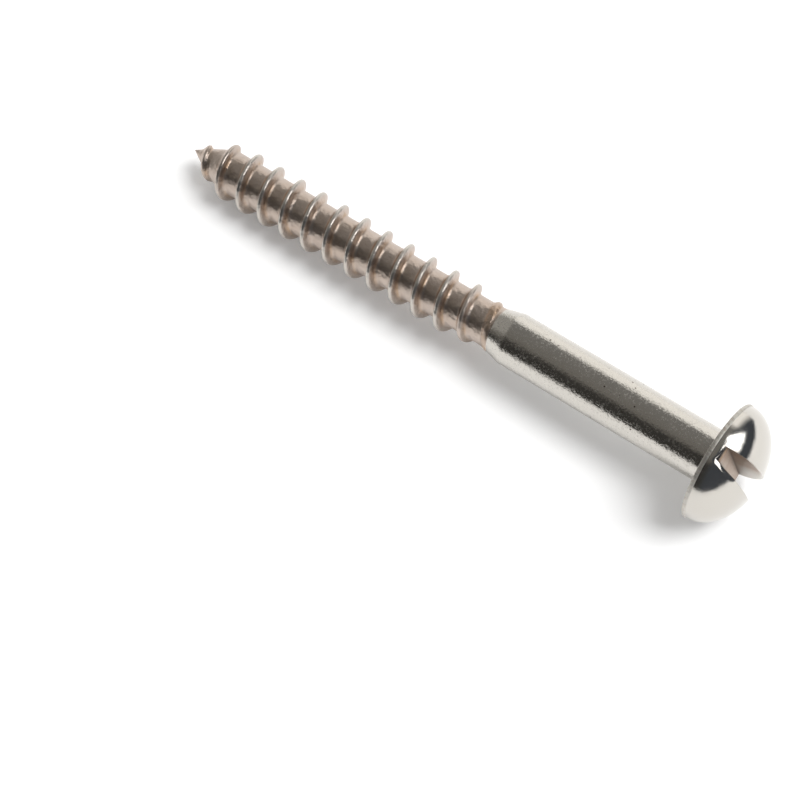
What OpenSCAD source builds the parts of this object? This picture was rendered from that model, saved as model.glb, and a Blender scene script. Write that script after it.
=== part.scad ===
// Slotted round head wood screw, lying on a flat surface as it comes to rest.
// The origin is the centre of the flat seat under the head, and the screw runs
// from its gimlet point, at -X, to its head, at +X. Sizes are in millimetres.

/* [Head] */
// Diameter of the head at its rim
head_d = 9.8; // [7:0.1:13]
// Height of the head above its seat
head_h = 3.65; // [2.8:0.05:4.4]
// Height of the straight land round the rim
rim_h = 0.35; // [0.15:0.05:0.8]
// Chamfer on the lower edge of the rim
rim_chamfer = 0.08; // [0.02:0.01:0.12]
// Width of the driver slot at its floor
slot_w = 1.2; // [0.6:0.05:1.8]
// Depth of the driver slot below the top of the dome
slot_depth = 2.5; // [1:0.05:2.6]
// Spread of the slot's wall on the +Y side, in degrees
slot_flare_a = 5; // [0:0.5:18]
// Spread of the slot's wall on the -Y side, in degrees
slot_flare_b = 16; // [0:0.5:18]
// Turn of the slot about the screw's axis, from upright
slot_turn = 17.5; // [-90:0.5:90]

/* [Shank] */
// Length from the seat under the head to the point
length = 50; // [40:0.5:80]
// Diameter of the plain shank
shank_d = 4.4; // [4:0.05:5.5]
// Length of the plain shank, from the seat to the start of its taper
shank_l = 18.6; // [10:0.1:24]
// Fillet between the shank and the seat
seat_fillet = 0.25; // [0.05:0.05:0.5]
// Length of the taper that ends the shank
shoulder_l = 1.4; // [0.5:0.1:4]
// Step down in radius from the shank to the small end of its taper
shoulder_drop = 0.35; // [0.1:0.05:0.4]

/* [Thread] */
// Diameter over the crests of the thread
thread_d = 4.8; // [4.2:0.02:6]
// Diameter of the core between the turns
core_d = 3.42; // [2.6:0.02:3.5]
// Pitch of the thread
pitch = 2.16; // [1.6:0.01:2.8]
// Distance of the first crest from the point, on the underside
thread_start = 0.3; // [0:0.01:1.6]
// Width of the flat on each crest
crest_w = 0.2; // [0.08:0.01:0.3]
// Included angle between the flanks
flank_angle = 40; // [30:1:50]
// Reach of the fillet at the foot of each flank
root_fillet = 0.2; // [0.1:0.01:0.22]
// Length over which the thread runs out below the shoulder
runout_l = 3.6; // [1:0.1:6]

/* [Point] */
// Length of the conical gimlet point
point_l = 3.6; // [2.5:0.1:6]
// Distance from the point at which the thread is at its full height
full_thread_at = 5; // [3:0.1:7]

/* [Fineness] */
// Facets in each turn of the thread
turn_facets = 36; // [24:4:48]

/* [Hidden] */
steel = [0.72, 0.70, 0.67];
round_fn = 96;
weld = 0.8;  // how far the core runs up inside the shank
tip_s = 0.2; // distance of the thread's first ring from the point
snap = 0.02; // grid points this near to an end ring are taken into it

head_r = head_d / 2;
shank_r = shank_d / 2;
core_r = core_d / 2;
thread_h = (thread_d - core_d) / 2;
// The dome is half an ellipsoid that stands on the top of the rim's land.
cap_h = head_h - rim_h;
// Distances called s are measured along the axis from the point.
corner_s = length - shank_l;
neck_s = corner_s - shoulder_l;
end_s = neck_s + weld;
runout_s = neck_s + pitch / 6;

// Profile of one turn: how far each grid line lies from the middle of the
// crest, and its share of the thread's height. The fillet is the curve between
// two tangents of equal length, one along the flank and one along the core.
half_crest = crest_w / 2;
half_foot = half_crest + thread_h * tan(flank_angle / 2);
in_flank = root_fillet * sin(flank_angle / 2);
up_flank = root_fillet * cos(flank_angle / 2) / thread_h;
PROFILE = [
    [-half_foot - root_fillet, 0],
    [-half_foot - (root_fillet - in_flank) / 4, up_flank / 4],
    [-half_foot + in_flank, up_flank],
    [-half_crest, 1],
    [half_crest, 1],
    [half_foot - in_flank, up_flank],
    [half_foot + (root_fillet - in_flank) / 4, up_flank / 4],
    [half_foot + root_fillet, 0],
];
lines = len(PROFILE);

function clamp01(x) = min(1, max(0, x));

// Radius of the bare core.
function core_at(s) = core_r * clamp01(s / point_l);

// Height of the crest over the core: it springs up at the tip, grows along the
// point until it is full, and fades into the core at the neck.
lead = 1.4 * pitch;
function rise_at(s) = thread_h * min(
    clamp01((s - tip_s) / (pitch / 3)),
    clamp01((s + lead) / (full_thread_at + lead)),
    clamp01((runout_s - s) / runout_l)
);

// The grid starts under the tip and ends above the last ring, so that each
// column crosses both of them.
first_turn = -floor((thread_start + pitch) / pitch) - 1;
last_turn = ceil((end_s - thread_start) / pitch) + 1;
rows = (last_turn - first_turn + 1) * lines;

function crest_s(row, col) =
    thread_start + pitch * (first_turn + floor(row / lines) + col / turn_facets);
function grid_s(row, col) = crest_s(row, col) + PROFILE[row % lines][0];
function grid_point(row, col) =
    let(
        s = grid_s(row, col),
        a = 360 * col / turn_facets,
        r = core_at(s) + PROFILE[row % lines][1] * rise_at(crest_s(row, col))
    )
    [r * cos(a), r * sin(a), s];
function ring_point(s, col) =
    [core_at(s) * cos(360 * col / turn_facets), core_at(s) * sin(360 * col / turn_facets), s];

// Index of a grid point. Past the last column the grid goes on one turn up, and
// points under the tip's ring or over the end ring are those rings' own points.
tip_ring = rows * turn_facets;
end_ring = tip_ring + turn_facets;
function index(row, col) =
    col == turn_facets ? index(row + lines, 0)
    : grid_s(row, col) < tip_s + snap ? tip_ring + col
    : grid_s(row, col) > end_s - snap ? end_ring + col
    : row * turn_facets + col;
function is_face(f) = f[0] != f[1] && f[1] != f[2] && f[2] != f[0];

// The threaded end as one closed skin, from the point up into the shank.
module threaded_end() {
    columns = [0:turn_facets - 1];
    points = concat(
        [for (row = [0:rows - 1], col = columns) grid_point(row, col)],
        [for (col = columns) ring_point(tip_s, col)],
        [for (col = columns) ring_point(end_s, col)],
        [[0, 0, 0]]
    );
    skin = [
        for (col = columns, row = [0:rows - lines - 2])
        let(
            a = index(row, col),
            b = index(row + 1, col),
            c = index(row + 1, col + 1),
            d = index(row, col + 1)
        )
        each [for (f = [[a, b, c], [a, c, d]]) if (is_face(f)) f]
    ];
    apex = end_ring + turn_facets;
    point_fan = [
        for (col = columns)
        [apex, tip_ring + col, tip_ring + (col + 1) % turn_facets]
    ];
    end_face = [[for (col = columns) end_ring + turn_facets - 1 - col]];
    polyhedron(points = points, faces = concat(skin, point_fan, end_face), convexity = 10);
}

// Half profile of all that is turned: the taper, the plain shank, the fillet
// under the seat, the rim's land and the dome.
module turned_profile() {
    polygon([
        [0, neck_s],
        [shank_r - shoulder_drop, neck_s],
        [shank_r, corner_s],
        [shank_r, length + rim_h / 2],
        [0, length + rim_h / 2],
    ]);
    translate([0, length - seat_fillet])
        difference() {
            square([shank_r + seat_fillet, seat_fillet + rim_h / 2]);
            translate([shank_r + seat_fillet, 0])
                circle(r = seat_fillet, $fn = 48);
        }
    translate([0, length])
        polygon([
            [0, 0],
            [head_r - rim_chamfer, 0],
            [head_r, rim_chamfer],
            [head_r, rim_h],
            [0, rim_h],
        ]);
    intersection() {
        translate([0, length + rim_h])
            scale([1, cap_h / head_r])
                circle(r = head_r, $fn = round_fn);
        translate([0, length + rim_h])
            square([2 * head_r, 2 * head_h]);
    }
}

// Room of the driver slot: flat floor, and walls that spread toward the top.
module driver_slot() {
    rise = 2 * head_h;
    rotate([90, 0, 90])
        linear_extrude(2 * head_d, center = true)
            polygon([
                [-slot_w / 2, 0],
                [slot_w / 2, 0],
                [slot_w / 2 + rise * tan(slot_flare_a), rise],
                [-slot_w / 2 - rise * tan(slot_flare_b), rise]
            ]);
}

// Head and shank, with the slot cut across the dome.
module head_and_shank() {
    difference() {
        rotate_extrude($fn = round_fn)
            turned_profile();
        translate([0, 0, length])
            rotate([0, 0, slot_turn])
                translate([0, 0, head_h - slot_depth])
                    driver_slot();
    }
}

// The screw rests on the edge of its rim and on a crest on its underside. Of
// all these crests, the one that asks for the least tilt is the one it lies on.
function tilt_to(s) =
    atan((head_r - core_at(s) - rise_at(s)) / (length + rim_chamfer - s));
rest_tilt = min([
    for (k = [1:floor(neck_s / pitch)]) tilt_to(thread_start + k * pitch)
]);

module wood_screw() {
    color(steel)
        rotate([0, 90 - rest_tilt, 0])
            translate([0, 0, -length]) {
                head_and_shank();
                threaded_end();
            }
}

wood_screw();
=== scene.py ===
"""Dresses the round head wood screw: its surfaces, its steel, and the studio it lies in."""

import math

import bmesh
import bpy
import numpy as np
from bpy.props import FloatProperty, FloatVectorProperty, PointerProperty
from mathutils import Matrix, Vector


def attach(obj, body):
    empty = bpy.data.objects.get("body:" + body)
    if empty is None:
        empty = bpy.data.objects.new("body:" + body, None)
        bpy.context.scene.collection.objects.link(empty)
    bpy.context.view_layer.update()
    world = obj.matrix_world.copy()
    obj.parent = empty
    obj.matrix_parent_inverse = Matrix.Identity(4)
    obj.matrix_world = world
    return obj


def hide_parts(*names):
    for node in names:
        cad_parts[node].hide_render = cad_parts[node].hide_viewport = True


bl_info = {
    "name": "Round Head Wood Screw",
    "version": (1, 0, 0),
    "blender": (4, 5, 0),
    "location": "View3D > Sidebar > Wood Screw",
    "description": "Builds the surfaces, steel and studio of a slotted round head wood screw",
    "category": "Add Mesh",
}

NODE = "wood_screw"
BODY = "root"
MM = 0.001

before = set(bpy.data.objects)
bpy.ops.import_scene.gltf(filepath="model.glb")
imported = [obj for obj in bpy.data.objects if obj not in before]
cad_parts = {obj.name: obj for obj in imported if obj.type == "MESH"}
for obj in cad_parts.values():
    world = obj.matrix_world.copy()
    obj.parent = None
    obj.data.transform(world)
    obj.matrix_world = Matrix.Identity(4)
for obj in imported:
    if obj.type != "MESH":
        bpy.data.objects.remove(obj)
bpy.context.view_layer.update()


def srgb_to_linear(hex_code):
    """Turn an sRGB hex value such as "#C8C4BE" into linear red, green and blue."""
    channels = np.array([int(hex_code[i:i + 2], 16) / 255 for i in (1, 3, 5)])
    linear = np.where(channels <= 0.04045, channels / 12.92, ((channels + 0.055) / 1.055) ** 2.4)
    return linear.tolist()


class ScrewSizes(bpy.types.PropertyGroup):
    """Sizes of the screw: lengths in metres and angles in radians."""

    length: FloatProperty(
        name="Length", description="From the seat under the head to the point",
        default=50 * MM, unit="LENGTH", precision=5,
    )
    head_diameter: FloatProperty(
        name="Head Diameter", description="Diameter of the head at its rim",
        default=9.8 * MM, unit="LENGTH", precision=5,
    )
    head_height: FloatProperty(
        name="Head Height", description="Height of the head above its seat",
        default=3.65 * MM, unit="LENGTH", precision=5,
    )
    rim_height: FloatProperty(
        name="Rim Height", description="Height of the land round the rim",
        default=0.35 * MM, unit="LENGTH", precision=5,
    )
    rim_chamfer: FloatProperty(
        name="Rim Chamfer", description="Chamfer on the lower edge of the rim",
        default=0.08 * MM, unit="LENGTH", precision=5,
    )
    slot_width: FloatProperty(
        name="Slot Width", description="Width of the driver slot at its floor",
        default=1.2 * MM, unit="LENGTH", precision=5,
    )
    slot_depth: FloatProperty(
        name="Slot Depth", description="Depth of the driver slot below the top of the dome",
        default=2.5 * MM, unit="LENGTH", precision=5,
    )
    slot_flare_a: FloatProperty(
        name="Slot Flare A", description="Spread of the slot's wall on the +Y side",
        default=math.radians(5), subtype="ANGLE",
    )
    slot_flare_b: FloatProperty(
        name="Slot Flare B", description="Spread of the slot's wall on the -Y side",
        default=math.radians(16), subtype="ANGLE",
    )
    edge_wear: FloatProperty(
        name="Edge Wear", description="How far the driver has pushed down the slot's edge",
        default=0.3 * MM, unit="LENGTH", precision=5,
    )
    sill_round: FloatProperty(
        name="Sill Round", description="Rounding where the slot's floor runs out of the dome",
        default=0.5 * MM, unit="LENGTH", precision=5,
    )
    ledge: FloatProperty(
        name="Ledge", description="Ledge between the rim's land and the foot of the dome",
        default=0.04 * MM, unit="LENGTH", precision=5,
    )
    slot_turn: FloatProperty(
        name="Slot Turn", description="Turn of the slot about the axis, from upright",
        default=math.radians(17.5), subtype="ANGLE",
    )
    shank_diameter: FloatProperty(
        name="Shank Diameter", description="Diameter of the plain shank",
        default=4.4 * MM, unit="LENGTH", precision=5,
    )
    shank_length: FloatProperty(
        name="Shank Length", description="Length of the plain shank",
        default=18.6 * MM, unit="LENGTH", precision=5,
    )
    seat_fillet: FloatProperty(
        name="Seat Fillet", description="Fillet between the shank and the seat",
        default=0.25 * MM, unit="LENGTH", precision=5,
    )
    shoulder_length: FloatProperty(
        name="Shoulder Length", description="Length of the taper that ends the shank",
        default=1.4 * MM, unit="LENGTH", precision=5,
    )
    shoulder_drop: FloatProperty(
        name="Shoulder Drop", description="Step down in radius along the taper",
        default=0.35 * MM, unit="LENGTH", precision=5,
    )
    thread_diameter: FloatProperty(
        name="Thread Diameter", description="Diameter over the crests of the thread",
        default=4.8 * MM, unit="LENGTH", precision=5,
    )
    core_diameter: FloatProperty(
        name="Core Diameter", description="Diameter of the core between the turns",
        default=3.42 * MM, unit="LENGTH", precision=5,
    )
    pitch: FloatProperty(
        name="Pitch", description="Pitch of the thread",
        default=2.16 * MM, unit="LENGTH", precision=5,
    )
    thread_start: FloatProperty(
        name="Thread Start", description="Distance of the first crest from the point, underneath",
        default=0.3 * MM, unit="LENGTH", precision=5,
    )
    crest_width: FloatProperty(
        name="Crest Width", description="Width of the flat on each crest",
        default=0.2 * MM, unit="LENGTH", precision=5,
    )
    flank_angle: FloatProperty(
        name="Flank Angle", description="Included angle between the flanks",
        default=math.radians(40), subtype="ANGLE",
    )
    root_fillet: FloatProperty(
        name="Root Fillet", description="Reach of the fillet at the foot of each flank",
        default=0.2 * MM, unit="LENGTH", precision=5,
    )
    runout_length: FloatProperty(
        name="Runout Length", description="Length over which the thread runs out",
        default=3.6 * MM, unit="LENGTH", precision=5,
    )
    point_length: FloatProperty(
        name="Point Length", description="Length of the conical gimlet point",
        default=3.6 * MM, unit="LENGTH", precision=5,
    )
    full_thread_at: FloatProperty(
        name="Full Thread At", description="Distance from the point to the first full crest",
        default=5 * MM, unit="LENGTH", precision=5,
    )


class ScrewColours(bpy.types.PropertyGroup):
    """Colours of the steel and of the studio."""

    steel: FloatVectorProperty(
        name="Steel", description="Colour of the bright drawn steel",
        default=srgb_to_linear("#C9C5BE"), subtype="COLOR", size=3, min=0, max=1,
    )
    thread: FloatVectorProperty(
        name="Thread", description="Colour of the rolled thread",
        default=srgb_to_linear("#C0B3A9"), subtype="COLOR", size=3, min=0, max=1,
    )
    straw: FloatVectorProperty(
        name="Straw Tint", description="Warm oxide tint in the feet of the thread",
        default=srgb_to_linear("#B08D68"), subtype="COLOR", size=3, min=0, max=1,
    )
    stain: FloatVectorProperty(
        name="Slot Stain", description="Brown film left in the driver slot",
        default=srgb_to_linear("#9C8068"), subtype="COLOR", size=3, min=0, max=1,
    )
    # This dark colour paints shade into the slot's inner corners, and darkens the spots of the
    # pits on the shank.
    crease_shade_and_pits: FloatVectorProperty(
        name="Dirt", description="Dark grime in the slot's corners and in the pits",
        default=srgb_to_linear("#4A3A2C"), subtype="COLOR", size=3, min=0, max=1,
    )
    floor: FloatVectorProperty(
        name="Floor", description="Colour of the studio floor",
        default=srgb_to_linear("#F4F4F4"), subtype="COLOR", size=3, min=0, max=1,
    )


def sizes():
    """The sizes that the scene holds."""
    return bpy.context.scene.wood_screw_sizes


def colours():
    """The colours that the scene holds."""
    return bpy.context.scene.wood_screw_colours


def neck_place(z):
    """Distance from the point to the neck, where the taper meets the core."""
    return z.length - z.shank_length - z.shoulder_length


def rest_tilt(z):
    """Tilt of the axis at rest: the least slope over the lines from the rim's lower edge to each
    crest underneath, (rim radius - crest radius) / distance along the axis."""
    k = np.arange(1, int(math.floor(neck_place(z) / z.pitch)) + 1)
    s = z.thread_start + k * z.pitch
    slope = (z.head_diameter / 2 - core_radius(z, s) - crest_rise(z, s)) / (
        z.length + z.rim_chamfer - s
    )
    return math.atan(float(slope.min()))


def to_row(z, points):
    """From the screw's own axes, with s from the point along +Z, to the row frame: down by the
    length, then turned about Y by a right angle less the rest tilt."""
    turn = Matrix.Rotation(math.pi / 2 - rest_tilt(z), 3, "Y")
    moved = np.asarray(points, float) - np.array([0, 0, z.length])
    return moved @ np.array(turn).T


def core_radius(z, s):
    """Radius of the bare core at distance s from the point. The blunt point swells into the
    cylinder as 1 - (1 - s / point length)^1.3."""
    return z.core_diameter / 2 * (1 - (1 - np.clip(s / z.point_length, 0, 1)) ** 1.3)


def crest_rise(z, s):
    """Height of the crest over the core at distance s from the point: the full height times the
    least of three straight ramps, kept within 0 and 1. One starts at the tip, one grows along the
    point, and one fades at the neck."""
    height = (z.thread_diameter - z.core_diameter) / 2
    runout = neck_place(z) + z.pitch / 6
    lead = 1.4 * z.pitch
    first_ring = 0.2 * MM
    start = (s - first_ring) / (z.pitch / 3)
    grow = (s + lead) / (z.full_thread_at + lead)
    fade = (runout - s) / z.runout_length
    return height * np.clip(np.minimum(np.minimum(start, grow), fade), 0, 1)


def put_mesh(name, points, quads, **marks):
    """Put whole arrays of corner points and quads into a new mesh object at the origin. Each
    mark is a number for every point, kept as an attribute that a material reads."""
    mesh = bpy.data.meshes.new(name)
    mesh.from_pydata(points.tolist(), [], quads.tolist())
    mesh.polygons.foreach_set("use_smooth", np.full(len(mesh.polygons), True))
    for key, values in marks.items():
        layer = mesh.attributes.new(key, "FLOAT", "POINT")
        layer.data.foreach_set("value", np.asarray(values, np.float32).reshape(-1))
    mesh.update()
    piece = bpy.data.objects.new(name, mesh)
    bpy.context.scene.collection.objects.link(piece)
    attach(piece, BODY)
    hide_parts(NODE)
    return piece


def grid_quads(rows, cols, closed):
    """Quads of a rows by cols grid of points, joined back to column 0 where it is closed."""
    r = np.arange(rows - 1)[:, None]
    c = np.arange(cols if closed else cols - 1)[None, :]
    n = (c + 1) % cols
    quads = np.stack([r * cols + c, r * cols + n, (r + 1) * cols + n, (r + 1) * cols + c], -1)
    return quads.reshape(-1, 4)


class SCREW_OT_thread(bpy.types.Operator):
    """Build the threaded end, from the gimlet point to the neck"""

    bl_idname = "screw.thread"
    bl_label = "Threaded End"

    def execute(self, context):
        z = sizes()
        around = 180
        # One turn of the profile: offset from the crest's middle, and share of its height.
        side, share = thread_profile(z)
        offset = np.concatenate([-side[:0:-1], side, [z.pitch / 2]])
        share = np.concatenate([share[:0:-1], share, [0]])
        lines = len(offset)
        # The grid is one long ribbon: its rows are the profile's lines, turn after turn, and each
        # column is the profile moved on by its share of the pitch. It starts two turns before the
        # tip and runs two past the end, and what lies beyond either is cut off. The radius is the
        # core's, plus the ridge's, plus the foot's at the neck.
        tip = 0.02 * MM
        end = neck_place(z) + 0.3 * MM
        spare = 2
        turns = int(math.ceil((end - z.thread_start) / z.pitch)) + 2 * spare
        row = np.arange(turns * lines)
        col = np.arange(around + 1)
        turn = (row // lines)[:, None] - spare + col[None, :] / around
        crest = z.thread_start + z.pitch * turn
        s = crest + offset[row % lines][:, None]
        rise = crest_rise(z, crest) * share[row % lines][:, None]
        low = s < tip
        high = s > end
        s = np.clip(s, tip, end)
        radius = core_radius(z, s) + np.where(low | high, 0, rise) + neck_flare(z, s)
        angle = 2 * math.pi * col / around
        points = np.stack(
            [radius * np.cos(angle), radius * np.sin(angle), np.broadcast_to(s, radius.shape)], -1
        )
        quads = grid_quads(len(row), around + 1, False)
        flat = points.reshape(-1, 3)
        keep = ~(low.reshape(-1)[quads].all(1) | high.reshape(-1)[quads].all(1))
        full = (z.thread_diameter - z.core_diameter) / 2
        piece = put_mesh("threaded_end", to_row(z, flat), quads[keep], share=rise / full)
        weld(piece, 0.004 * MM)
        piece.data.materials.append(rolled_steel())
        return {"FINISHED"}


def thread_profile(z):
    """Half of the ridge's profile, from the crest's middle to the foot, as offset and share of
    the height. The crest is an arc, the flank is straight, and the foot is the curve between
    two tangents of equal length, one along the flank and one along the core."""
    height = (z.thread_diameter - z.core_diameter) / 2
    half_angle = z.flank_angle / 2
    # Crest: an arc that ends along the flank, and whose top is at the full height.
    turn = np.linspace(0, math.pi / 2 - half_angle, 6)
    radius = z.crest_width
    crest_x = radius * np.sin(turn)
    crest_y = height - radius * (1 - np.cos(turn))
    # Foot: a quadratic curve from the flank to the core, with their crossing as its corner.
    reach = 1.3 * z.root_fillet
    spread = math.tan(half_angle)
    start_y = reach * math.cos(half_angle)
    start = np.array([crest_x[-1] + (crest_y[-1] - start_y) * spread, start_y])
    corner = np.array([crest_x[-1] + crest_y[-1] * spread, 0])
    end = np.array([min(corner[0] + reach, z.pitch / 2 - 0.05 * MM), 0])
    t = np.linspace(0, 1, 8)[:, None]
    curve = (1 - t) ** 2 * start + 2 * t * (1 - t) * corner + t ** 2 * end
    x = np.concatenate([crest_x, [(crest_x[-1] + start[0]) / 2], curve[:, 0]])
    y = np.concatenate([crest_y, [(crest_y[-1] + start[1]) / 2], curve[:, 1]])
    return x, y / height


def neck_flare(z, s):
    """Concave foot where the core meets the taper: it grows as the square of the way into it."""
    reach = 0.9 * MM
    gap = (z.shank_diameter - z.core_diameter) / 2 - z.shoulder_drop
    t = np.clip((s - (neck_place(z) - reach)) / reach, 0, 1)
    return gap * t ** 2


def weld(piece, distance):
    """Merge points that lie on each other, and turn every face outwards."""
    mesh = bmesh.new()
    mesh.from_mesh(piece.data)
    bmesh.ops.remove_doubles(mesh, verts=mesh.verts, dist=distance)
    bmesh.ops.recalc_face_normals(mesh, faces=mesh.faces)
    mesh.to_mesh(piece.data)
    mesh.free()


class SCREW_OT_shank(bpy.types.Operator):
    """Build the lathe-turned forms: the taper, the shank, the seat and the rim"""

    bl_idname = "screw.shank"
    bl_label = "Shank And Rim"

    def execute(self, context):
        z = sizes()
        shank = z.shank_diameter / 2
        head = z.head_diameter / 2
        corner = z.length - z.shank_length
        fillet = z.seat_fillet
        turn = np.linspace(0, math.pi / 2, 9)
        soft = np.linspace(-1, 1, 9)
        # Profile as radius and distance from the point: taper, softened corner, shank, fillet.
        bend = 0.14 * MM
        slope = z.shoulder_drop / z.shoulder_length
        corner_s = corner + bend * soft
        corner_r = shank - slope * bend * (1 - soft) ** 2 / 4
        taper_s = np.linspace(neck_place(z), corner - bend, 8)[:-1]
        taper_r = shank - slope * (corner - taper_s)
        straight_s = np.linspace(corner + bend, z.length - fillet, 60)[1:-1]
        straight_r = np.full_like(straight_s, shank)
        fillet_s = z.length - fillet * (1 - np.sin(turn))
        fillet_r = shank + fillet * (1 - np.cos(turn))
        s = np.concatenate([taper_s, corner_s, straight_s, fillet_s])
        r = np.concatenate([taper_r, corner_r, straight_r, fillet_r])
        piece = lathe(z, "shank", r, s, 192)
        weld(piece, 0.0005 * MM)
        piece.data.materials.append(drawn_steel())

        # Seat, chamfer, land, and the ledge that the dome stands on. The die has torn the
        # land, so it dips inwards and its upper edge wanders, both as sums of waves round it.
        # The dips and the wander are given as shares for the profile's points past the seat.
        around = 720
        angle = np.arange(around) * 2 * math.pi / around
        dip_depth = 0.03 * MM
        wander_width = 0.05 * MM
        seat_r = np.linspace(shank + fillet, head - z.rim_chamfer - 0.02 * MM, 14)
        edge_r = head - z.rim_chamfer * np.array([1, 0.62, 0.3, 0.08, 0, 0, 0, 0])
        edge_up = z.rim_chamfer * np.array([0, 0.1, 0.34, 0.7, 1, 1.6, 2.3, 3.0])
        top = np.array([0.86, 0.93, 1.0]) * z.rim_height
        r = np.concatenate([seat_r, edge_r, [head, head - z.ledge / 2, head - z.ledge]])
        s = z.length + np.concatenate([seat_r * 0, edge_up, top])
        dip = dip_depth * np.concatenate(
            [seat_r * 0, [0, 0.3, 0.6, 0.9, 1, 1, 0.9, 1, 0.9, 0.5, 0]]
        )
        wander = wander_width * np.concatenate(
            [seat_r * 0, [0, 0, 0, 0, 0, 0.1, 0.3, 0.6, 1, 0.6, 0]]
        )
        r = r[:, None] - dip[:, None] * waves(angle, (9, 23, 47, 86, 131), 0.4)
        s = s[:, None] - wander[:, None] * waves(angle, (7, 17, 38, 71, 113), 2.1)
        piece = lathe(z, "head_rim", r, s, around)
        weld(piece, 0.0005 * MM)
        piece.data.materials.append(trimmed_steel())
        return {"FINISHED"}


def waves(angle, counts, start):
    """A rough line about 0.5, mostly within 0 and 1: the mean of cosines with the given counts
    of waves round the axis, each with its own start, times 0.8."""
    k = np.array(counts)[:, None]
    return 0.5 + 0.8 * np.cos(k * angle + start * k ** 1.5).mean(0)


def lathe(z, name, radius, s, around):
    """Carry a profile of radius against distance s round the axis. Either may change from one
    angle to the next."""
    angle = np.arange(around) * 2 * math.pi / around
    rows = len(radius)
    radius = np.broadcast_to(radius.reshape(rows, -1), (rows, around))
    s = np.broadcast_to(s.reshape(rows, -1), (rows, around))
    points = np.stack([radius * np.cos(angle), radius * np.sin(angle), s], -1)
    return put_mesh(name, to_row(z, points.reshape(-1, 3)), grid_quads(rows, around, True))


def dome_height(z, x, y):
    """Height of the dome above the seat: half an ellipsoid on the top of the rim, so the
    height over the rim, divided by the cap's, is the root of 1 - (radius / foot radius)^2."""
    foot = z.head_diameter / 2 - z.ledge
    cap = z.head_height - z.rim_height
    return z.rim_height + cap * np.sqrt(np.clip(1 - (x ** 2 + y ** 2) / foot ** 2, 0, None))


def smooth_step(t):
    """Smooth step from 0 to 1: 3 t^2 - 2 t^3."""
    t = np.clip(t, 0, 1)
    return t * t * (3 - 2 * t)


def worn_dome(z, x, y):
    """Height of the dome after use. By the slot's upper end the driver has pushed the -Y edge
    down into a bevel: the wear falls evenly away from that edge, grows along the slot toward its
    end, and fades across the slot to the other edge."""
    bevel_reach = 0.34 * MM
    worn_from = 3.2 * MM
    full_after = 1 * MM
    end_fade = 0.15 * MM
    half = z.slot_width / 2
    end = math.sqrt((z.head_diameter / 2 - z.ledge) ** 2 - half ** 2)
    away = np.clip(-y - slot_edge(z, x, z.slot_flare_b), 0, None)
    side = np.clip(0.5 - y / (2 * half), 0, 1)
    near = smooth_step((-x - worn_from) / full_after) * smooth_step((end + x) / end_fade)
    wear = np.clip(1 - away / bevel_reach, 0, 1)
    return dome_height(z, x, y) - z.edge_wear * near * side * wear


def soft_min(a, b, reach):
    """The lesser of two heights. Where they differ by less than the reach, it is rounded off by
    the square of the share that is left of the reach, times a quarter of the reach."""
    mix = np.clip(1 - np.abs(a - b) / reach, 0, 1)
    return np.minimum(a, b) - mix ** 2 * reach / 4


def slot_edge(z, station, flare):
    """Half width of the slot where its wall meets the dome: the width at the floor, and the
    wall's spread times its height there. The height depends on the width, so it settles."""
    floor = z.head_height - z.slot_depth
    half = np.full_like(station, z.slot_width / 2)
    for _ in range(30):
        rise = np.clip(dome_height(z, station, half) - floor, 0, None)
        half = z.slot_width / 2 + rise * math.tan(flare)
    return half


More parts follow.
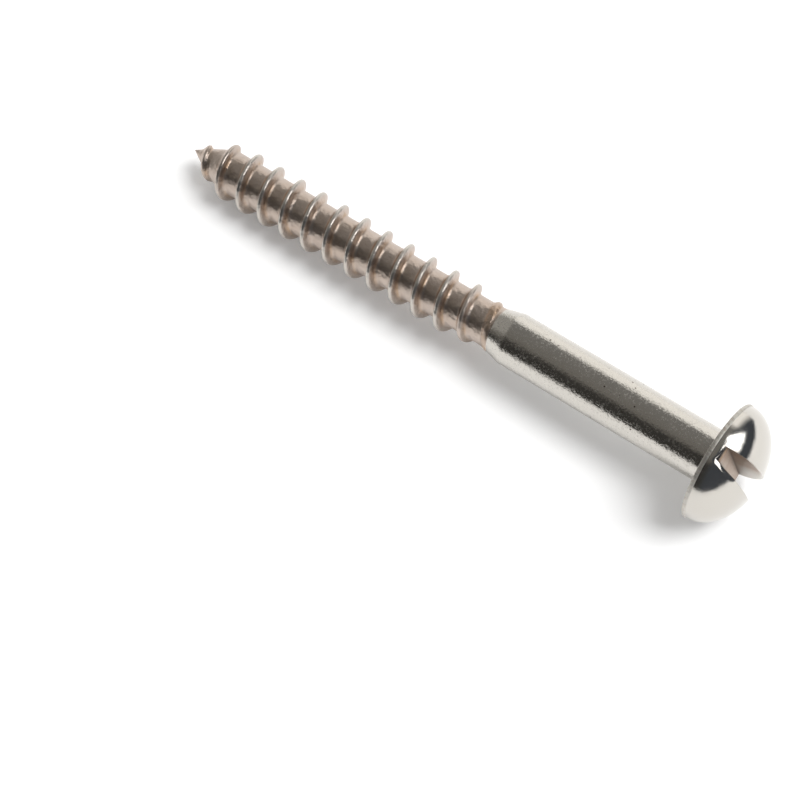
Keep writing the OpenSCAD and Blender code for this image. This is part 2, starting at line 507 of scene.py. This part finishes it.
class SCREW_OT_dome(bpy.types.Operator):
    """Build the dome with its driver slot"""

    bl_idname = "screw.dome"
    bl_label = "Slotted Dome"

    def execute(self, context):
        z = sizes()
        half = z.slot_width / 2
        foot = z.head_diameter / 2 - z.ledge
        floor = z.head_height - z.slot_depth
        # Stations along the slot, as the sine of an even angle, with one of them at the place
        # where the floor runs out of the dome.
        cap = z.head_height - z.rim_height
        reach = foot * math.sqrt(1 - ((floor - z.rim_height) / cap) ** 2)
        end = math.sqrt(foot ** 2 - half ** 2)
        out = math.asin(math.sqrt(reach ** 2 - half ** 2) / end)
        bend = np.concatenate([np.linspace(0, out, 56), np.linspace(out, math.pi / 2, 12)[1:]])
        station = end * np.sin(bend)
        station = np.concatenate([-station[:0:-1], station])
        # Each half of the dome: f runs from the slot's edge to the rim, and its steps shrink
        # toward the edge and toward the steep foot.
        f = (0.5 - 0.5 * np.cos(np.linspace(0, math.pi, 56)))[:, None, None]
        tip = math.asin(half / foot)
        rim = np.linspace(math.pi - tip, tip, len(station))
        around = foot * np.stack([np.cos(rim), np.sin(rim)], -1)
        sheets, inside, crease, stain = [], [], [], []
        for sign, flare in ((1, z.slot_flare_a), (-1, z.slot_flare_b)):
            wide = slot_edge(z, station, flare)
            x, y = np.moveaxis(np.stack([station, wide], -1) * (1 - f) + around * f, -1, 0)
            sheets.append(np.stack([x, sign * y, worn_dome(z, x, sign * y)], -1))
            inside.append(x * 0)
            crease.append(x * 0)
            stain.append(x * 0)
            # Wall, from the dome down to the floor.
            low = soft_min(worn_dome(z, station, sign * half), floor, z.sill_round)
            deep = np.linspace(0, 1, 18)[:, None]
            wall = worn_dome(z, station, sign * wide) * (1 - deep) + low * deep
            out_by = wide * (1 - deep) + half * deep
            along = np.broadcast_to(station, wall.shape)
            sheets.append(np.stack([along, sign * out_by, wall], -1))
            inside.append(np.broadcast_to(smooth_step(deep * 6), wall.shape))
            # Crease mark: painted shade, strongest at the foot of the wall where it meets the
            # floor.
            crease.append(np.exp(-(wall - low) / (0.25 * MM)))
            stain.append(inside[-1] * (1 - 0.75 * smooth_step((along + 1 * MM) / (2.5 * MM))))
        # Floor of the slot. Past its sills it is the dome, and its ends follow the rim.
        q = half * np.sin(np.linspace(-math.pi / 2, math.pi / 2, 17))[:, None]
        arc = np.sign(station) * np.sqrt(np.clip(station ** 2 + half ** 2 - q ** 2, 0, None))
        arced = smooth_step((np.abs(station) - 1 * MM) / (2 * MM))
        x = station * (1 - arced) + arc * arced
        y = np.broadcast_to(q, x.shape)
        up = soft_min(worn_dome(z, x, y), floor, z.sill_round)
        sheets.append(np.stack([x, y, up], -1))
        inside.append(smooth_step(1 - (floor - up) / (0.3 * MM)))
        # Crease mark: painted shade along the floor's edges, next to the walls.
        crease.append(np.exp(-(half - np.abs(y)) / (0.12 * MM)) * inside[-1])
        stain.append(inside[-1])
        base = np.cumsum([0] + [sheet[..., 0].size for sheet in sheets])
        quads = [grid_quads(*sheet.shape[:2], False) + b for sheet, b in zip(sheets, base)]
        points = np.concatenate([sheet.reshape(-1, 3) for sheet in sheets])
        turn = np.array(Matrix.Rotation(z.slot_turn, 3, "Z"))
        points = points @ turn.T + np.array([0, 0, z.length])
        piece = put_mesh(
            "slotted_dome", to_row(z, points), np.concatenate(quads),
            inside=np.concatenate([mark.reshape(-1) for mark in inside]),
            crease=np.concatenate([mark.reshape(-1) for mark in crease]),
            stain=np.concatenate([mark.reshape(-1) for mark in stain]),
        )
        weld(piece, 0.002 * MM)
        bevel = piece.modifiers.new("worn_edge", "BEVEL")
        bevel.width = 0.05 * MM
        bevel.segments = 3
        bevel.limit_method = "ANGLE"
        bevel.angle_limit = math.radians(38)
        piece.data.materials.append(polished_steel())
        return {"FINISHED"}


def add_node(tree, kind, settings=None, **links):
    """Add a node, set its attributes, and give its sockets a value or a link from an output. A
    socket is named with _ for a space, or i and its number where names repeat."""
    node = tree.nodes.new(kind)
    for key, value in (settings or {}).items():
        setattr(node, key, value)
    for key, value in links.items():
        numbered = key[0] == "i" and key[1:].isdigit()
        socket = node.inputs[int(key[1:]) if numbered else key.replace("_", " ")]
        if isinstance(value, bpy.types.NodeSocket):
            tree.links.new(value, socket)
        else:
            socket.default_value = value
    return node


def new_material(name):
    """Start a material with one Principled shader, and return it with its tree and shader."""
    material = bpy.data.materials.new(name)
    material.use_nodes = True
    tree = material.node_tree
    tree.nodes.clear()
    shader = add_node(tree, "ShaderNodeBsdfPrincipled")
    output = add_node(tree, "ShaderNodeOutputMaterial")
    tree.links.new(shader.outputs[0], output.inputs[0])
    return material, tree, shader


def drawn_steel():
    """Drawn stainless steel wire, semi-bright. The die leaves a fine grit that speckles the
    reflections, faint lines along the wire, and a few dark pits."""
    material, tree, shader = new_material("drawn_stainless_steel")
    steel, crease_shade_and_pits = (*colours().steel, 1), (*colours().crease_shade_and_pits, 1)
    place = add_node(tree, "ShaderNodeTexCoord").outputs["Object"]
    # Real grit is some 0.02 mm wide, and is drawn at 0.18 mm so that it shows.
    grit = add_node(
        tree, "ShaderNodeTexNoise", None,
        Vector=place, Scale=1 / (0.18 * MM), Detail=2.0, Roughness=0.65,
    ).outputs["Fac"]
    # Draw lines, in line with the axis and 30 times as long as wide. They are some 0.03 mm wide,
    # and are drawn at 0.14 mm so that they show.
    along = add_node(
        tree, "ShaderNodeMapping", {"vector_type": "TEXTURE"},
        Vector=place, Rotation=(0, -rest_tilt(sizes()), 0), Scale=(30, 1, 1),
    ).outputs[0]
    lines = add_node(
        tree, "ShaderNodeTexNoise", None,
        Vector=along, Scale=1 / (0.14 * MM), Detail=2.0,
    ).outputs["Fac"]
    cloud = add_node(
        tree, "ShaderNodeTexNoise", None, Vector=place, Scale=1 / (1.6 * MM), Detail=3.0,
    ).outputs["Fac"]
    # Pits: in a third of 0.7 mm cells, a spot of 0.06 mm radius.
    cells = add_node(
        tree, "ShaderNodeTexVoronoi", None, Vector=place, Scale=1 / (0.7 * MM), Randomness=1.0
    )
    spot = add_node(
        tree, "ShaderNodeMapRange", {"interpolation_type": "SMOOTHSTEP"},
        Value=cells.outputs["Distance"], From_Min=0.05, From_Max=0.13, To_Min=1.0, To_Max=0.0,
    ).outputs[0]
    draw = add_node(tree, "ShaderNodeSeparateColor", None, Color=cells.outputs["Color"])
    chosen = add_node(
        tree, "ShaderNodeMath", {"operation": "GREATER_THAN"}, i0=draw.outputs[0], i1=0.66
    ).outputs[0]
    pit = add_node(
        tree, "ShaderNodeMath", {"operation": "MULTIPLY"}, i0=spot, i1=chosen
    ).outputs[0]
    rough = add_node(
        tree, "ShaderNodeMapRange", None,
        Value=cloud, From_Min=0.3, From_Max=0.7, To_Min=0.1, To_Max=0.18,
    ).outputs[0]
    # The tops of the grit are frosted, so they show as light grains in the dark reflections.
    grain = add_node(
        tree, "ShaderNodeMapRange", {"interpolation_type": "SMOOTHSTEP"},
        Value=grit, From_Min=0.5, From_Max=0.66, To_Min=0.0, To_Max=0.22,
    ).outputs[0]
    frosted = add_node(
        tree, "ShaderNodeMath", {"operation": "ADD"}, i0=grain, i1=rough
    ).outputs[0]
    pitted = add_node(
        tree, "ShaderNodeMath", {"operation": "MULTIPLY_ADD"}, i0=pit, i1=0.3, i2=frosted
    ).outputs[0]
    tree.links.new(pitted, shader.inputs["Roughness"])
    tone = add_node(
        tree, "ShaderNodeMix", {"data_type": "RGBA"}, i0=pit, i6=steel, i7=crease_shade_and_pits
    ).outputs[2]
    tree.links.new(tone, shader.inputs["Base Color"])
    shader.inputs["Metallic"].default_value = 1.0
    # The 0.7 mm next to the head was held in the die and is smooth.
    upright = add_node(
        tree, "ShaderNodeMapping", {"vector_type": "TEXTURE"},
        Vector=place, Rotation=(0, -rest_tilt(sizes()), 0), Scale=(1, 1, 1),
    ).outputs[0]
    parts = add_node(tree, "ShaderNodeSeparateXYZ", None, Vector=upright)
    held = add_node(
        tree, "ShaderNodeMapRange", {"interpolation_type": "SMOOTHSTEP"},
        Value=parts.outputs[0], From_Min=-1.1 * MM, From_Max=-0.6 * MM, To_Min=1.0, To_Max=0.15,
    ).outputs[0]
    scored = add_node(
        tree, "ShaderNodeBump", None, Height=lines, Strength=0.12, Distance=0.04 * MM
    ).outputs[0]
    amount = add_node(
        tree, "ShaderNodeMath", {"operation": "MULTIPLY"}, i0=held, i1=0.22
    ).outputs[0]
    gritty = add_node(
        tree, "ShaderNodeBump", None,
        Strength=amount, Height=grit, Distance=0.1 * MM, Normal=scored,
    ).outputs[0]
    tree.links.new(gritty, shader.inputs["Normal"])
    return material


def rolled_steel():
    """Rolled stainless steel. The dies polish the crests and leave the roots dull, gritty and
    dented, and a straw tint stays at the feet of the ridge."""
    material, tree, shader = new_material("rolled_stainless_steel")
    place = add_node(tree, "ShaderNodeTexCoord").outputs["Object"]
    share = add_node(
        tree, "ShaderNodeAttribute", {"attribute_name": "share"}
    ).outputs["Fac"]
    # Grit of some 0.02 mm is drawn at 0.13 mm, and the rollers' dents are 0.55 mm wide.
    grit = add_node(
        tree, "ShaderNodeTexNoise", None,
        Vector=place, Scale=1 / (0.13 * MM), Detail=3.0, Roughness=0.6,
    ).outputs["Fac"]
    dents = add_node(
        tree, "ShaderNodeTexNoise", None, Vector=place, Scale=1 / (0.55 * MM), Detail=2.0,
    ).outputs["Fac"]
    cloud = add_node(
        tree, "ShaderNodeTexNoise", None, Vector=place, Scale=1 / (1.4 * MM), Detail=3.0,
    ).outputs["Fac"]
    # The share of the ridge's height tells crest from foot and root.
    crest = add_node(
        tree, "ShaderNodeMapRange", {"interpolation_type": "SMOOTHSTEP"},
        Value=share, From_Min=0.7, From_Max=1.15,
    ).outputs[0]
    root = add_node(
        tree, "ShaderNodeMapRange", {"interpolation_type": "SMOOTHSTEP"},
        Value=share, From_Min=0.0, From_Max=0.12, To_Min=1.0, To_Max=0.0,
    ).outputs[0]
    foot = add_node(
        tree, "ShaderNodeMapRange", {"interpolation_type": "SMOOTHSTEP"},
        Value=share, From_Min=0.75, From_Max=0.1,
    ).outputs[0]
    patchy = add_node(
        tree, "ShaderNodeMapRange", None,
        Value=cloud, From_Min=0.35, From_Max=0.65, To_Min=0.1, To_Max=0.62,
    ).outputs[0]
    in_foot = add_node(
        tree, "ShaderNodeMath", {"operation": "MULTIPLY_ADD"}, i0=root, i1=-0.75, i2=foot
    ).outputs[0]
    tint = add_node(
        tree, "ShaderNodeMath", {"operation": "MULTIPLY", "use_clamp": True},
        i0=in_foot, i1=patchy,
    ).outputs[0]
    body = add_node(
        tree, "ShaderNodeMix", {"data_type": "RGBA"},
        i0=tint, i6=(*colours().thread, 1), i7=(*colours().straw, 1),
    ).outputs[2]
    tone = add_node(
        tree, "ShaderNodeMix", {"data_type": "RGBA"},
        i0=crest, i6=body, i7=(*colours().steel, 1),
    ).outputs[2]
    tree.links.new(tone, shader.inputs["Base Color"])
    shader.inputs["Metallic"].default_value = 1.0
    dull = add_node(
        tree, "ShaderNodeMapRange", None,
        Value=grit, From_Min=0.3, From_Max=0.7, To_Min=0.3, To_Max=0.42,
    ).outputs[0]
    rough = add_node(
        tree, "ShaderNodeMix", {"data_type": "FLOAT"}, i0=crest, i2=dull, i3=0.28
    ).outputs[0]
    tree.links.new(rough, shader.inputs["Roughness"])
    dented = add_node(
        tree, "ShaderNodeBump", None, Height=dents, Strength=0.35, Distance=0.25 * MM
    ).outputs[0]
    gritty = add_node(
        tree, "ShaderNodeBump", None,
        Height=grit, Strength=0.3, Distance=0.06 * MM, Normal=dented,
    ).outputs[0]
    tree.links.new(gritty, shader.inputs["Normal"])
    return material


def trimmed_steel():
    """Stainless steel that the heading die tore along the rim: short scratches along the axis
    and coarse grit, on the flat seat too."""
    material, tree, shader = new_material("die_trimmed_stainless_steel")
    place = add_node(tree, "ShaderNodeTexCoord").outputs["Object"]
    # Scratches some 0.03 mm wide, drawn at 0.12 mm so that they show, and 5 times as long.
    along = add_node(
        tree, "ShaderNodeMapping", {"vector_type": "TEXTURE"},
        Vector=place, Rotation=(0, -rest_tilt(sizes()), 0), Scale=(5, 1, 1),
    ).outputs[0]
    scratch = add_node(
        tree, "ShaderNodeTexNoise", None,
        Vector=along, Scale=1 / (0.12 * MM), Detail=3.0, Roughness=0.7,
    ).outputs["Fac"]
    tone = add_node(
        tree, "ShaderNodeMapRange", None, Value=scratch, From_Min=0.2, From_Max=0.45
    ).outputs[0]
    mixed = add_node(
        tree, "ShaderNodeMix", {"data_type": "RGBA"},
        i0=tone, i6=(*colours().stain, 1), i7=(*colours().steel, 1),
    ).outputs[2]
    tree.links.new(mixed, shader.inputs["Base Color"])
    shader.inputs["Metallic"].default_value = 1.0
    rough = add_node(
        tree, "ShaderNodeMapRange", None,
        Value=scratch, From_Min=0.3, From_Max=0.7, To_Min=0.5, To_Max=0.3,
    ).outputs[0]
    tree.links.new(rough, shader.inputs["Roughness"])
    torn = add_node(
        tree, "ShaderNodeBump", None, Height=scratch, Strength=0.5, Distance=0.12 * MM
    ).outputs[0]
    tree.links.new(torn, shader.inputs["Normal"])
    return material


def polished_steel():
    """Stainless steel dome as the polished heading die left it, nearly a mirror, with faint
    waves and scuffs. Inside the slot it is sawn, dull and stained brown, and its inner corners
    are darkened with painted shade."""
    material, tree, shader = new_material("die_polished_stainless_steel")
    place = add_node(tree, "ShaderNodeTexCoord").outputs["Object"]
    inside = add_node(
        tree, "ShaderNodeAttribute", {"attribute_name": "inside"}
    ).outputs["Fac"]
    crease = add_node(
        tree, "ShaderNodeAttribute", {"attribute_name": "crease"}
    ).outputs["Fac"]
    stain = add_node(
        tree, "ShaderNodeAttribute", {"attribute_name": "stain"}
    ).outputs["Fac"]
    # Saw marks and grit of some 0.02 mm are drawn at 0.12 mm so that they show.
    grit = add_node(
        tree, "ShaderNodeTexNoise", None,
        Vector=place, Scale=1 / (0.12 * MM), Detail=3.0, Roughness=0.7,
    ).outputs["Fac"]
    cloud = add_node(
        tree, "ShaderNodeTexNoise", None, Vector=place, Scale=1 / (1.3 * MM), Detail=4.0,
    ).outputs["Fac"]
    # Stain: over the walls and floor, with a patchy edge. The creases are then darkened toward
    # the dark colour, as painted shade.
    film = add_node(
        tree, "ShaderNodeMapRange", None,
        Value=cloud, From_Min=0.3, From_Max=0.7, To_Min=0.6, To_Max=1.0,
    ).outputs[0]
    stained = add_node(
        tree, "ShaderNodeMath", {"operation": "MULTIPLY"}, i0=stain, i1=film
    ).outputs[0]
    brown = add_node(
        tree, "ShaderNodeMix", {"data_type": "RGBA"},
        i0=stained, i6=(*colours().steel, 1), i7=(*colours().stain, 1),
    ).outputs[2]
    # Painted shade: by the crease mark, the slot's inner corners go most of the way to the dark
    # colour.
    crease_shade_share = add_node(
        tree, "ShaderNodeMath", {"operation": "MULTIPLY"}, i0=crease, i1=0.8
    ).outputs[0]
    tone = add_node(
        tree, "ShaderNodeMix", {"data_type": "RGBA"},
        i0=crease_shade_share, i6=brown, i7=(*colours().crease_shade_and_pits, 1),
    ).outputs[2]
    tree.links.new(tone, shader.inputs["Base Color"])
    shader.inputs["Metallic"].default_value = 1.0
    scuff = add_node(
        tree, "ShaderNodeMapRange", None,
        Value=cloud, From_Min=0.45, From_Max=0.7, To_Min=0.1, To_Max=0.2,
    ).outputs[0]
    rough = add_node(
        tree, "ShaderNodeMix", {"data_type": "FLOAT"}, i0=inside, i2=scuff, i3=0.34
    ).outputs[0]
    tree.links.new(rough, shader.inputs["Roughness"])
    wavy = add_node(
        tree, "ShaderNodeBump", None, Height=cloud, Strength=0.2, Distance=0.1 * MM
    ).outputs[0]
    amount = add_node(
        tree, "ShaderNodeMath", {"operation": "MULTIPLY_ADD"}, i0=inside, i1=0.3, i2=0.08
    ).outputs[0]
    gritty = add_node(
        tree, "ShaderNodeBump", None,
        Strength=amount, Height=grit, Distance=0.06 * MM, Normal=wavy,
    ).outputs[0]
    tree.links.new(gritty, shader.inputs["Normal"])
    return material


def lowest_point(z):
    """Height of the surface that the screw rests on: the lower edge of its rim."""
    tilt = rest_tilt(z)
    return -(z.head_diameter / 2 * math.cos(tilt) - z.rim_chamfer * math.sin(tilt))


class SCREW_OT_studio(bpy.types.Operator):
    """Build the floor, the lights, the world and the camera"""

    bl_idname = "screw.studio"
    bl_label = "Studio"

    def execute(self, context):
        z = sizes()
        scene = context.scene
        scene.view_settings.view_transform = "Standard"
        floor_z = lowest_point(z)
        mesh = bpy.data.meshes.new("floor")
        side = 3.0  # metres from the middle to each edge
        ways = ((-1, -1), (1, -1), (1, 1), (-1, 1))
        mesh.from_pydata([(side * x, side * y, floor_z) for x, y in ways], [], [(0, 1, 2, 3)])
        floor = bpy.data.objects.new("floor", mesh)
        scene.collection.objects.link(floor)
        mesh.materials.append(matt_white_card())

        # The camera stands at the photograph's viewing angle.
        azimuth, elevation = math.radians(35.9), math.radians(63.2)
        back = Vector((
            math.sin(azimuth) * math.cos(elevation),
            -math.cos(azimuth) * math.cos(elevation),
            math.sin(elevation),
        ))
        aim = Vector((-22.2 * MM, -9.82 * MM, 0))
        distance = 186 * MM
        focal_pixels, frame_pixels = 2450, 800
        camera_data = bpy.data.cameras.new("camera")
        camera = bpy.data.objects.new("camera", camera_data)
        scene.collection.objects.link(camera)
        camera.location = aim + back * distance
        camera.rotation_euler = back.to_track_quat("Z", "Y").to_euler()
        camera_data.sensor_width = 36
        camera_data.lens = camera_data.sensor_width * focal_pixels / frame_pixels
        camera_data.clip_start = 0.01
        camera_data.clip_end = 20
        scene.camera = camera

        # The key is the one lamp that shows in the steel. The wash lights the floor from its
        # side, and the fill softens the shadow from overhead.
        middle = Vector((-20 * MM, 0, 0))
        key_way = Vector((0.517, 0.347, 0.783)) * 0.6
        wash_way = Vector((0.434, 0.2, 0.878)) * 0.7
        fill_way = Vector((-0.1, 0.1, 0.8))
        add_softbox(scene, "key_softbox", middle, key_way, (0.36, 0.52), 1.7)
        wash = add_softbox(scene, "key_wash", middle, wash_way, (0.36, 0.36), 2.7)
        fill = add_softbox(scene, "overhead_fill", middle, fill_way, (1.4, 1.4), 2.4)
        wash.visible_glossy = False
        fill.visible_glossy = False
        scene.world = studio_world()
        return {"FINISHED"}


def matt_white_card():
    """Floor: matt white card, lit a little past white by the light path where it is seen, in the
    picture or in the metal, so that it is white round the screw and keeps the screw's shadow."""
    material, tree, shader = new_material("matt_white_card")
    shader.inputs["Base Color"].default_value = (*colours().floor, 1)
    shader.inputs["Roughness"].default_value = 0.9
    shader.inputs["Specular IOR Level"].default_value = 0.1
    path = add_node(tree, "ShaderNodeLightPath")
    seen = add_node(
        tree, "ShaderNodeMath", {"operation": "MAXIMUM"},
        i0=path.outputs["Is Camera Ray"], i1=path.outputs["Is Glossy Ray"],
    )
    lift = add_node(
        tree, "ShaderNodeMath", {"operation": "MULTIPLY"}, i0=seen.outputs[0], i1=0.16
    )
    shader.inputs["Emission Color"].default_value = (1, 1, 1, 1)
    tree.links.new(lift.outputs[0], shader.inputs["Emission Strength"])
    return material


def studio_world():
    """The room, which shows in the steel: bright on the +Y side, grey overhead, and dark on the
    viewer's side. These bands are steps in the Y part of the direction, and a step in X ends them
    on the head's side, where the room is dark."""
    world = bpy.data.worlds.new("studio_room")
    world.use_nodes = True
    tree = world.node_tree
    tree.nodes.clear()
    place = add_node(tree, "ShaderNodeTexCoord")
    parts = add_node(tree, "ShaderNodeSeparateXYZ", None, Vector=place.outputs["Generated"])
    across = add_node(
        tree, "ShaderNodeMapRange", None,
        Value=parts.outputs["Y"], From_Min=-1.0, From_Max=1.0,
    )
    ramp = add_node(tree, "ShaderNodeValToRGB", None, Fac=across.outputs[0])
    stops = ramp.color_ramp
    stops.elements[0].position = 0.17
    stops.elements[0].color = (0.05, 0.048, 0.045, 1)
    stops.elements[1].position = 0.26
    stops.elements[1].color = (0.2, 0.19, 0.175, 1)
    for position, level in ((0.82, 0.24), (0.88, 1.3)):
        stop = stops.elements.new(position)
        stop.color = (level, level * 0.985, level * 0.955, 1)
    head_side = add_node(
        tree, "ShaderNodeMapRange", {"interpolation_type": "SMOOTHSTEP"},
        Value=parts.outputs["X"], From_Min=-0.05, From_Max=0.3,
    )
    walls = add_node(
        tree, "ShaderNodeMix", {"data_type": "RGBA"},
        i0=head_side.outputs[0], i6=ramp.outputs[0], i7=(0.07, 0.077, 0.09, 1),
    )
    # The end wall past the screw's point is light too, except on the viewer's side.
    end_wall = add_node(
        tree, "ShaderNodeMapRange", {"interpolation_type": "SMOOTHSTEP"},
        Value=parts.outputs["X"], From_Min=-0.48, From_Max=-0.72,
    )
    end_side = add_node(
        tree, "ShaderNodeMapRange", {"interpolation_type": "SMOOTHSTEP"},
        Value=parts.outputs["Y"], From_Min=-0.45, From_Max=-0.2,
    )
    end_share = add_node(
        tree, "ShaderNodeMath", {"operation": "MULTIPLY"},
        i0=end_wall.outputs[0], i1=end_side.outputs[0],
    )
    room = add_node(
        tree, "ShaderNodeMix", {"data_type": "RGBA"},
        i0=end_share.outputs[0], i6=walls.outputs[2], i7=(0.42, 0.41, 0.39, 1),
    )
    light = add_node(tree, "ShaderNodeBackground", None, Color=room.outputs[2], Strength=1.0)
    output = add_node(tree, "ShaderNodeOutputWorld")
    tree.links.new(light.outputs[0], output.inputs[0])
    return world


def add_softbox(scene, name, aim, way, size, watts):
    """Add a light of width and depth in metres, which stands off from a point and looks at it."""
    data = bpy.data.lights.new(name, "AREA")
    data.shape = "RECTANGLE"
    data.size, data.size_y = size
    data.energy = watts
    lamp = bpy.data.objects.new(name, data)
    lamp.location = aim + way
    lamp.rotation_euler = way.to_track_quat("Z", "Y").to_euler()
    scene.collection.objects.link(lamp)
    return lamp


class SCREW_PT_panel(bpy.types.Panel):
    """List the screw's pieces and its sizes"""

    bl_idname = "SCREW_PT_panel"
    bl_label = "Wood Screw"
    bl_space_type = "VIEW_3D"
    bl_region_type = "UI"
    bl_category = "Wood Screw"

    def draw(self, context):
        layout = self.layout
        for operator in OPERATORS:
            layout.operator(operator.bl_idname)
        for group in (sizes(), colours()):
            box = layout.box()
            for name in group.__annotations__:
                box.prop(group, name)


OPERATORS = (SCREW_OT_shank, SCREW_OT_thread, SCREW_OT_dome, SCREW_OT_studio)
CLASSES = (ScrewSizes, ScrewColours, *OPERATORS, SCREW_PT_panel)


def register():
    """Register the classes and hang the two groups of settings on the scene."""
    for cls in CLASSES:
        bpy.utils.register_class(cls)
    bpy.types.Scene.wood_screw_sizes = PointerProperty(type=ScrewSizes)
    bpy.types.Scene.wood_screw_colours = PointerProperty(type=ScrewColours)


def unregister():
    """Undo register."""
    del bpy.types.Scene.wood_screw_colours
    del bpy.types.Scene.wood_screw_sizes
    for cls in reversed(CLASSES):
        bpy.utils.unregister_class(cls)


def main():
    register()
    bpy.ops.screw.shank()
    bpy.ops.screw.thread()
    bpy.ops.screw.dome()
    bpy.ops.screw.studio()


if __name__ == "__main__":
    main()
